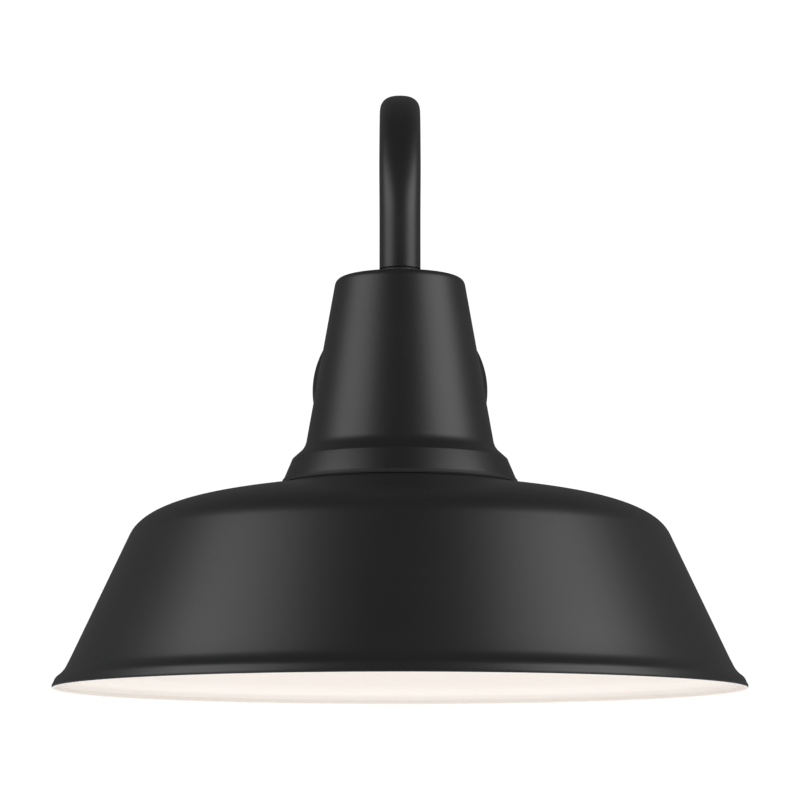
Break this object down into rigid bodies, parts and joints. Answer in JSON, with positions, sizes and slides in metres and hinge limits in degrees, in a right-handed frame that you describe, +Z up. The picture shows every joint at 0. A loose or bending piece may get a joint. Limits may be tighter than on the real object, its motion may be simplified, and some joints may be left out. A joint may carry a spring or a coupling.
{
  "type": "outdoor wall lantern",
  "caption": "Gooseneck barn wall light: a bent tube arm from a round wall canopy carries a cast neck and a wide spun metal shade, mouth down, over a screw-in bulb.",
  "frame": {"origin": "centre of the canopy's back, on the wall plane", "axes": "+Y into the wall, so the lamp reaches out along -Y; +Z up; +X to the right of someone facing the wall"},
  "size_m": [0.407, 0.5335, 0.3759],
  "materials": {
    "black_paint": "satin black powder coat with a fine grain",
    "shade_enamel": "satin black powder coat outside, warm white enamel inside",
    "zinc_steel": "zinc plated steel",
    "brass": "bright brass",
    "nickel": "nickel plated brass",
    "green_screw": "green dyed grounding screw",
    "porcelain": "white glazed porcelain",
    "black_rubber": "matt black rubber",
    "foam": "closed cell foam gasket",
    "frosted_glass": "frosted lamp glass",
    "clear_glass": "clear lamp glass",
    "black_glass": "black glass insulator",
    "lead_black": "black wire insulation",
    "lead_white": "white wire insulation",
    "lead_green": "green wire insulation",
    "connector": "orange twist-on wire connector",
    "tungsten": "filament"
  },
  "bodies": {
    "fixture": {"arm": "black_paint", "arm_bush_canopy": "zinc_steel", "arm_bush_neck": "zinc_steel", "bracket_ground_screw": "green_screw", "canopy": "black_paint", "canopy_collar": "black_paint", "canopy_nipple": "zinc_steel", "canopy_nut": "zinc_steel", "canopy_washer": "zinc_steel", "cap_nut_left": "black_paint", "cap_nut_right": "black_paint", "centre_contact": "brass", "connector_ground": "connector", "connector_line": "connector", "connector_neutral": "connector", "lampholder": "porcelain", "lead_ground": "lead_green", "lead_line": "lead_black", "lead_neutral": "lead_white", "mounting_strap": "zinc_steel", "mounting_stud_left": "zinc_steel", "mounting_stud_right": "zinc_steel", "neck": "black_paint", "neck_nipple": "zinc_steel", "neck_nut": "zinc_steel", "neck_seal": "black_rubber", "neck_washer": "zinc_steel", "screw_shell": "brass", "shade": "shade_enamel", "shade_clamp_ring": "zinc_steel", "shade_gasket": "black_rubber", "shade_screw_1": "zinc_steel", "shade_screw_2": "zinc_steel", "shade_screw_3": "zinc_steel", "socket_bracket": "zinc_steel", "socket_nut_left": "zinc_steel", "socket_nut_right": "zinc_steel", "socket_screw_left": "zinc_steel", "socket_screw_right": "zinc_steel", "strap_ground_screw": "green_screw", "terminal_screw_line": "brass", "terminal_screw_neutral": "nickel", "wall_gasket": "foam"},
    "bulb": {"bulb_globe": "frosted_glass", "bulb_cap": "nickel", "bulb_insulator": "black_glass", "bulb_contact": "nickel", "bulb_stem": "clear_glass", "filament": "tungsten"}
  },
  "joints": [
    {"name": "bulb_unscrew", "type": "slide", "parent": "fixture", "child": "bulb", "axis": [0, 0, -1], "range_m": [0, 0.19]}
  ]
}
